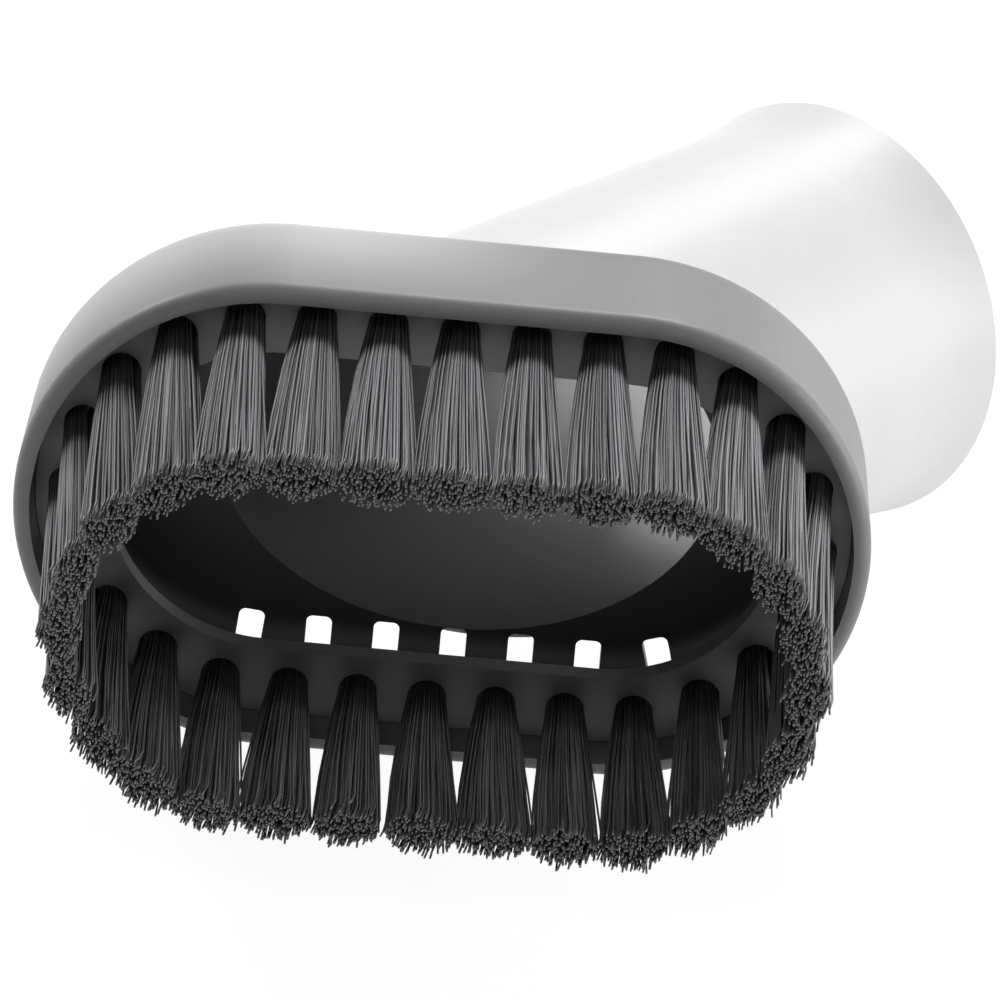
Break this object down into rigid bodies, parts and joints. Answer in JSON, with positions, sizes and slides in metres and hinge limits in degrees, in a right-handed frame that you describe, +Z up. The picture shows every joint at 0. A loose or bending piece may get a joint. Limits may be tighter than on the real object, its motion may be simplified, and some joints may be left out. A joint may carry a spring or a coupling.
{
  "type": "vacuum dusting brush",
  "caption": "Oval dusting brush for a vacuum wand: a moulded head with a ring of bristle tufts, and a leaning neck that ends in a round push-fit socket.",
  "frame": {"origin": "middle of the bounding box, on the surface that the brush lies on", "axes": "the brush lies on its long side: +X along the head towards the side the neck leans to, -Y out of the mouth along the bristles, +Z up"},
  "size_m": [0.086, 0.0904, 0.0445],
  "materials": {
    "body_plastic": "fine moulded texture, satin",
    "ring_plastic": "moulded, satin",
    "anchor_steel": "bare flat wire",
    "bristle": "drawn nylon filament, cut square"
  },
  "bodies": {
    "root": {"brush_body": "body_plastic", "bristle_ring": "ring_plastic", "tuft_anchors": "anchor_steel", "tuft_01": "bristle", "tuft_02": "bristle", "tuft_03": "bristle", "tuft_04": "bristle", "tuft_05": "bristle", "tuft_06": "bristle", "tuft_07": "bristle", "tuft_08": "bristle", "tuft_09": "bristle", "tuft_10": "bristle", "tuft_11": "bristle", "tuft_12": "bristle", "tuft_13": "bristle", "tuft_14": "bristle", "tuft_15": "bristle", "tuft_16": "bristle", "tuft_17": "bristle", "tuft_18": "bristle", "tuft_19": "bristle", "tuft_20": "bristle", "tuft_21": "bristle", "tuft_22": "bristle", "tuft_23": "bristle", "tuft_24": "bristle", "tuft_25": "bristle", "tuft_26": "bristle", "tuft_27": "bristle", "tuft_28": "bristle"}
  },
  "joints": []
}
